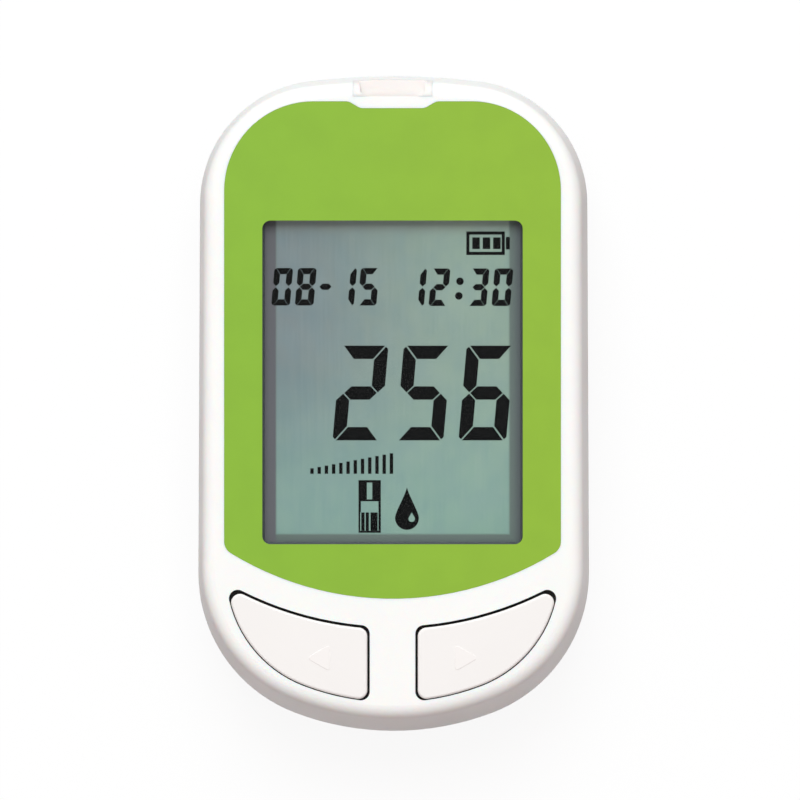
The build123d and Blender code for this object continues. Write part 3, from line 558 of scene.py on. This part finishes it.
class MeterPower(bpy.types.Operator):
    """Finish the cells, their sleeves, the contacts and the springs"""

    bl_idname = "meter.power"
    bl_label = "Power"

    def execute(self, context):
        can = metal("battery_can")
        dress(can, "battery_left", "battery_right")
        plated = metal("plated_steel")
        dress(
            plated,
            "battery_contact_positive",
            "battery_contact_negative",
            "battery_bridge_contact",
            "battery_springs",
            "memory_switch_cover",
            "set_switch_cover",
        )
        for name, pole in (("battery_left_sleeve", 1), ("battery_right_sleeve", -1)):
            dress(self.sleeve(name, pole), name)
        return {"FINISHED"}

    def sleeve(self, name, pole):
        """A printed sleeve: dark blue-grey, with a pale band and a thin line near the positive pole."""
        coat = {"Roughness": 0.28, "Coat Weight": 0.5, "Coat Roughness": 0.08}
        finish = Finish(name, linear(52, 62, 78), coat)
        low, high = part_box(name)
        along = finish.combine("MULTIPLY", finish.axis("Y"), pole)
        end = high.y if pole > 0 else -low.y
        line_start, line_end, band = (
            finish.beyond(along, end - back * MM, soft=0.05 * MM) for back in (11, 10.2, 9)
        )
        line = finish.combine("SUBTRACT", line_start, line_end)
        pale = finish.combine("MAXIMUM", band, line)
        print_grain = finish.noise(0.4 * MM, detail=3.0)
        dark = finish.blend(print_grain, linear(46, 56, 72), linear(56, 66, 84))
        finish.paint(finish.blend(pale, dark, linear(188, 192, 196)))
        finish.emboss(finish.noise(1.2 * MM, detail=2.0), depth=0.004 * MM)
        return finish


class MeterBoard(bpy.types.Operator):
    """Finish the main board, what is soldered to it and the screws"""

    bl_idname = "meter.board"
    bl_label = "Board"

    def execute(self, context):
        dress(self.laminate(), "main_board")
        epoxy = moulded("chip_black", linear(30, 30, 32))
        dress(epoxy, "microcontroller", "memory_chip")
        can = metal("crystal_metal")
        dress(can, "crystal")
        dress(self.resistors(), "chip_resistors")
        housing = moulded("connector_black", linear(40, 40, 42))
        dress(housing, "strip_connector_housing")
        gold = metal("contact_metal")
        dress(gold, "strip_contact_springs")
        cup = moulded("buzzer_black", linear(30, 30, 32))
        dress(cup, "buzzer_housing")
        brass = metal("buzzer_brass")
        dress(brass, "buzzer_disc")
        steel = metal("screw_steel")
        dress(steel, "case_screws", "board_screws")
        return {"FINISHED"}

    def laminate(self):
        """Green solder mask over copper tracks, which show as lighter lines that stand out a little."""
        coat = {"Roughness": 0.35, "Coat Weight": 0.3, "Coat Roughness": 0.15}
        finish = Finish("board_green", linear(32, 92, 52), coat)
        tracks = finish.node("ShaderNodeTexBrick", offset=0.37, squash=1.6, squash_frequency=3)
        finish.feed(tracks.inputs["Vector"], finish.place)
        tracks.inputs["Scale"].default_value = 1.0
        tracks.inputs["Brick Width"].default_value = 3.1 * MM
        tracks.inputs["Row Height"].default_value = 1.1 * MM
        tracks.inputs["Mortar Size"].default_value = 0.14 * MM
        mask = finish.blend(finish.noise(3 * MM), linear(28, 84, 46), linear(34, 98, 56))
        finish.paint(finish.blend(tracks.outputs["Fac"], mask, linear(58, 132, 78)))
        finish.emboss(tracks.outputs["Fac"], depth=0.02 * MM)
        return finish

    def resistors(self):
        """Dark chips with bright solder ends."""
        finish = Finish("resistor_dark", linear(48, 44, 42), {"Roughness": 0.4})
        low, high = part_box("chip_resistors")
        middle, half = (low.y + high.y) / 2, (high.y - low.y) / 2
        off = finish.combine("ABSOLUTE", finish.combine("SUBTRACT", finish.axis("Y"), middle))
        end = finish.beyond(off, half * 0.65, soft=half * 0.03)
        finish.paint(finish.blend(end, linear(44, 40, 38), linear(205, 206, 208)))
        finish.feed(finish.shader.inputs["Metallic"], end)
        finish.emboss(finish.noise(0.08 * MM), depth=0.004 * MM)
        return finish


class MeterInk:
    """Shared by the operators that draw on the display: heights, ink and seven-segment digits."""

    def heights(self, sizes):
        """The two heights of the ink on the polariser."""
        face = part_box("lcd_front_polariser")[1].z
        return face, face + sizes.ink_thickness

    def ink(self, colours):
        """Near black with a faint cloud, made once and shared."""
        known = bpy.data.materials.get("display_ink")
        if known:
            return known
        return moulded("display_ink", tuple(colours.ink), {"Specular IOR Level": 0.05}).material

    def digits(self, bm, shown, size, sizes):
        """Add characters, each centred on its place across the display."""
        text, places, centre = shown
        low, high = self.heights(sizes)
        outlines = segment_outlines(*size)
        lean = math.tan(sizes.slant)
        for character, place in zip(text, places):
            for segment in SEGMENTS_OF[character]:
                outline = [(place * MM + x + y * lean, centre * MM + y) for x, y in outlines[segment]]
                add_plate(bm, outline, low, high)


def segment_outlines(width, height, stroke, cut, gap):
    """Outlines of a digit's seven segments about its centre, by their usual letters."""
    x, y = width / 2, height / 2
    inner, half = x - stroke, stroke / 2
    waist = 0.1 * MM
    end, tip = half + waist, x - half - gap
    top = [(cut - x, y), (x - cut, y), (inner - gap, y - stroke), (gap - inner, y - stroke)]
    upper = [
        (x - cut + gap, y - gap),
        (x, y - cut),
        (x, end),
        (x - half, end - half),
        (inner, end),
        (inner, y - stroke - gap),
    ]
    shoulder = tip - half
    middle = [(-tip, 0), (-shoulder, half), (shoulder, half), (tip, 0), (shoulder, -half), (-shoulder, -half)]
    return {
        "a": top,
        "b": upper,
        "c": [(px, -py) for px, py in upper],
        "d": [(px, -py) for px, py in top],
        "e": [(-px, -py) for px, py in upper],
        "f": [(-px, py) for px, py in upper],
        "g": middle,
    }


class MeterReading(MeterInk, bpy.types.Operator):
    """Draw the reading: three large digits"""

    bl_idname = "meter.reading"
    bl_label = "Reading"

    def execute(self, context):
        sizes, colours = context.scene.meter_display, context.scene.meter_colours
        width, height = sizes.reading_width, sizes.reading_height
        size = (width, height, sizes.reading_stroke, sizes.reading_cut, sizes.reading_gap)
        bm = bmesh.new()
        self.digits(bm, READING, size, sizes)
        make_piece(bm, "display_reading", "case", self.ink(colours))
        return {"FINISHED"}


class MeterDateAndTime(MeterInk, bpy.types.Operator):
    """Draw the date and the time above the reading"""

    bl_idname = "meter.date_and_time"
    bl_label = "Date and time"

    def execute(self, context):
        sizes, colours = context.scene.meter_display, context.scene.meter_colours
        size = (sizes.small_width, sizes.small_height, sizes.small_stroke, sizes.small_cut, sizes.small_gap)
        bm = bmesh.new()
        self.digits(bm, DATE, size, sizes)
        make_piece(bm, "display_date", "case", self.ink(colours))
        bm = bmesh.new()
        self.digits(bm, TIME, size, sizes)
        low, high = self.heights(sizes)
        radius = DOT_RADIUS * MM
        for x, y in TIME_DOTS:
            place = Matrix.Translation((x * MM, y * MM, low))
            dot = bmesh.ops.create_circle(bm, cap_ends=True, segments=28, radius=radius, matrix=place)
            raise_faces(bm, list({f for v in dot["verts"] for f in v.link_faces}), high - low)
        make_piece(bm, "display_time", "case", self.ink(colours))
        return {"FINISHED"}


class MeterSymbols(MeterInk, bpy.types.Operator):
    """Draw the battery, the level bars, the test strip and the drop"""

    bl_idname = "meter.symbols"
    bl_label = "Symbols"

    def execute(self, context):
        sizes, colours = context.scene.meter_display, context.scene.meter_colours
        for name, draw in (
            ("display_battery_symbol", self.battery),
            ("display_level_bars", self.level_bars),
            ("display_strip_symbol", self.strip),
            ("display_drop_symbol", self.drop),
        ):
            bm = bmesh.new()
            draw(bm, *self.heights(sizes))
            make_piece(bm, name, "case", self.ink(colours))
        return {"FINISHED"}

    def battery(self, bm, low, high):
        """A lying cell with three bars."""
        left, right, bottom, top, wall = (v * MM for v in (10.8, 16.45, 21.8, 25.25, 0.46))
        bar, pitch, inset = 1.1 * MM, 1.53 * MM, wall * 1.9
        inner = rectangle(left + wall, right - wall, bottom + wall, top - wall)
        add_ring(bm, rectangle(left, right, bottom, top), inner, low, high)
        middle, nub_half = (bottom + top) / 2, wall * 2
        nub_start, nub_end = right + wall / 3, right + wall * 1.6
        add_plate(bm, rectangle(nub_start, nub_end, middle - nub_half, middle + nub_half), low, high)
        for i in range(3):
            start = left + inset + i * pitch
            add_plate(bm, rectangle(start, start + bar, bottom + inset, top - inset), low, high)

    def level_bars(self, bm, low, high):
        """A row of bars that rise to the right."""
        bars = 12
        left, bottom, bar, pitch, first, rise = (v * MM for v in (-12.1, -10.3, 0.5, 1.06, 0.8, 0.2))
        for i in range(bars):
            start = left + i * pitch
            add_plate(bm, rectangle(start, start + bar, bottom, bottom + first + rise * i), low, high)

    def strip(self, bm, low, high):
        """A test strip: its head with a slot, its clear window and its foot with contact lines."""
        left, right, bottom, top = (v * MM for v in (-5.02, -1.75, -18.95, -11.24))
        head_bottom, window_bottom, sole = -14.33 * MM, -15.98 * MM, bottom + 0.28 * MM
        wall, joint = 0.34 * MM, 0.02 * MM
        slot = rectangle(left + 1.22 * MM, right - 1.25 * MM, head_bottom + 0.27 * MM, top - 0.35 * MM)
        add_ring(bm, rectangle(left, right, head_bottom, top), slot, low, high)
        for start, end in ((left, left + wall), (right - wall, right)):
            add_plate(bm, rectangle(start, end, window_bottom + joint, head_bottom - joint), low, high)
        for start, end in CONTACT_LINES:
            line = rectangle(left + start * MM, left + end * MM, sole + joint, window_bottom)
            add_plate(bm, line, low, high)
        add_plate(bm, rectangle(left, right, bottom, sole), low, high)

    def drop(self, bm, low, high):
        """A drop with a small clear drop in it: two circles whose upper halves are drawn out to a tip."""
        taper = 0.6
        loops = []
        for x, y, radius, tail in ((2.09, -16.78, 1.74, 2.76), (2.79, -16.9, 0.48, 0.5)):
            loop = bmesh.ops.create_circle(bm, segments=48, radius=radius * MM)["verts"]
            for v in loop:
                share = min(max(v.co.y / (radius * MM), 0.0), 1.0)
                v.co.x *= (1 - share) ** (taper * share)
                v.co.y += share**2 * tail * MM
            bmesh.ops.translate(bm, verts=loop, vec=(x * MM, y * MM, low))
            loops += {e for v in loop for e in v.link_edges}
        raise_faces(bm, bmesh.ops.bridge_loops(bm, edges=loops)["faces"], high - low)


class MeterButtonMarks(bpy.types.Operator):
    """Raise an arrow on each button cap, one to the left and one to the right"""

    bl_idname = "meter.button_marks"
    bl_label = "Button marks"

    def execute(self, context):
        marks = context.scene.meter_marks
        corner_round = marks.mark_size * 0.3
        white = bpy.data.materials["button_white"]
        for side, button in ((-1, "memory"), (1, "set")):
            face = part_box(button + "_button_cap")[1].z
            bm = bmesh.new()
            ring = bmesh.ops.create_circle(bm, cap_ends=True, segments=3, radius=marks.mark_size)["verts"]
            bmesh.ops.rotate(bm, verts=ring, matrix=Matrix.Rotation(-side * math.pi / 2, 3, "Z"))
            self.bevel(bm, ring, corner_round, 4, "VERTICES")
            bmesh.ops.translate(bm, verts=bm.verts, vec=(side * marks.mark_side, marks.mark_along, face))
            raise_faces(bm, bm.faces[:], marks.mark_rise)
            top = [e for e in bm.edges if all(v.co.z > face + marks.mark_rise / 2 for v in e.verts)]
            self.bevel(bm, top, marks.mark_bevel, 2, "EDGES")
            make_piece(bm, button + "_button_mark", button + "_button", white)
        return {"FINISHED"}

    def bevel(self, bm, parts, offset, segments, affect):
        """Round off vertices or edges."""
        bmesh.ops.bevel(
            bm, geom=parts, offset=offset, segments=segments, profile=0.5, affect=affect, material=-1
        )


class MeterStage(bpy.types.Operator):
    """Set up the floor, the lamps, the world and the camera"""

    bl_idname = "meter.stage"
    bl_label = "Stage"

    def execute(self, context):
        studio = context.scene.meter_studio
        self.floor(studio)
        self.world(studio)
        self.lamp(studio, "key_lamp", studio.key_power, studio.key_elevation)
        self.lamp(studio, "side_lamp", studio.side_power, studio.side_elevation)
        self.camera(studio)
        context.scene.view_settings.view_transform = "Standard"
        return {"FINISHED"}

    def floor(self, studio):
        """A wide pale floor that keeps a faint shadow and gives little light back."""
        bm = bmesh.new()
        bmesh.ops.create_grid(bm, x_segments=1, y_segments=1, size=6.0)
        mesh = bpy.data.meshes.new("studio_floor")
        bm.to_mesh(mesh)
        bm.free()
        floor = bpy.data.objects.new("studio_floor", mesh)
        floor.location.z = -studio.floor_drop
        bpy.context.scene.collection.objects.link(floor)
        finish = Finish("studio_floor", tuple(studio.floor_bounce), {"Roughness": 0.9})
        glow = finish.node("ShaderNodeEmission")
        paper = finish.node("ShaderNodeBsdfDiffuse")
        paper.inputs["Color"].default_value = (0.95, 0.95, 0.95, 1.0)
        look = finish.node("ShaderNodeMixShader")
        look.inputs["Fac"].default_value = studio.shadow_share
        finish.feed(look.inputs[1], glow.outputs["Emission"])
        finish.feed(look.inputs[2], paper.outputs["BSDF"])
        whole = finish.node("ShaderNodeMixShader")
        finish.feed(whole.inputs["Fac"], plain_rays(finish.material.node_tree))
        finish.feed(whole.inputs[1], finish.shader.outputs["BSDF"])
        finish.feed(whole.inputs[2], look.outputs["Shader"])
        finish.feed(finish.nodes["Material Output"].inputs["Surface"], whole.outputs["Shader"])
        mesh.materials.append(finish.material)

    def world(self, studio):
        """White behind the meter, and an even soft light on it from all round."""
        world = bpy.data.worlds.new("studio_world")
        world.use_nodes = True
        bpy.context.scene.world = world
        nodes, links = world.node_tree.nodes, world.node_tree.links
        ambient = nodes["Background"]
        ambient.inputs["Color"].default_value = (*studio.ambient_tint, 1.0)
        ambient.inputs["Strength"].default_value = studio.ambient
        white = nodes.new("ShaderNodeBackground")
        white.inputs["Color"].default_value = (1.0, 1.0, 1.0, 1.0)
        white.inputs["Strength"].default_value = 1.0
        mix = nodes.new("ShaderNodeMixShader")
        links.new(plain_rays(world.node_tree), mix.inputs["Fac"])
        links.new(ambient.outputs["Background"], mix.inputs[1])
        links.new(white.outputs["Background"], mix.inputs[2])
        links.new(mix.outputs["Shader"], nodes["World Output"].inputs["Surface"])

    def lamp(self, studio, name, watts, elevation):
        """A large soft lamp beyond the strip port, a little to the left."""
        lamp = bpy.data.lights.new(name, "AREA")
        lamp.shape = "SQUARE"
        lamp.size = studio.key_size
        lamp.energy = watts
        lamp.color = tuple(studio.key_tint)
        across, along = -math.sin(studio.key_turn), math.cos(studio.key_turn)
        level = math.cos(elevation)
        towards = Vector((across * level, along * level, math.sin(elevation)))
        holder = bpy.data.objects.new(name, lamp)
        holder.location = towards * studio.key_distance
        holder.rotation_euler = towards.to_track_quat("Z", "Y").to_euler()
        bpy.context.scene.collection.objects.link(holder)

    def camera(self, studio):
        """A long lens above the face, leaning a little to the right."""
        lens = bpy.data.cameras.new("camera")
        lens.sensor_width = 36.0
        lens.lens = 1000.0
        lens.clip_end = 20.0
        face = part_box("fascia_overlay")[1].z
        distance = lens.lens / lens.sensor_width * studio.view_width - (face - studio.view_height)
        camera = bpy.data.objects.new("camera", lens)
        target = Vector((studio.view_side, studio.view_along, face))
        back = Vector((math.sin(studio.view_tilt), 0.0, math.cos(studio.view_tilt)))
        camera.location = target + back * distance
        camera.rotation_euler = (0.0, studio.view_tilt, 0.0)
        bpy.context.scene.collection.objects.link(camera)
        bpy.context.scene.camera = camera


STEPS = (
    MeterShell,
    MeterFascia,
    MeterDisplay,
    MeterButtons,
    MeterPower,
    MeterBoard,
    MeterReading,
    MeterDateAndTime,
    MeterSymbols,
    MeterButtonMarks,
    MeterStage,
)
GROUPS = {
    "meter_display": MeterDisplaySizes,
    "meter_marks": MeterMarkSizes,
    "meter_colours": MeterColours,
    "meter_studio": MeterStudio,
}


class MeterPanel(bpy.types.Panel):
    """Lists the steps that finish the meter"""

    bl_idname = "VIEW3D_PT_meter"
    bl_label = "Blood glucose meter"
    bl_space_type = "VIEW_3D"
    bl_region_type = "UI"
    bl_category = "Meter"

    def draw(self, context):
        for step in STEPS:
            self.layout.operator(step.bl_idname)


def register():
    for name, group in GROUPS.items():
        bpy.utils.register_class(group)
        setattr(bpy.types.Scene, name, PointerProperty(type=group))
    for step in (*STEPS, MeterPanel):
        bpy.utils.register_class(step)


def unregister():
    for step in (MeterPanel, *reversed(STEPS)):
        bpy.utils.unregister_class(step)
    for name, group in GROUPS.items():
        delattr(bpy.types.Scene, name)
        bpy.utils.unregister_class(group)


def main():
    """Run every step."""
    register()
    for step in STEPS:
        group, name = step.bl_idname.split(".")
        getattr(getattr(bpy.ops, group), name)()


if __name__ == "__main__":
    main()
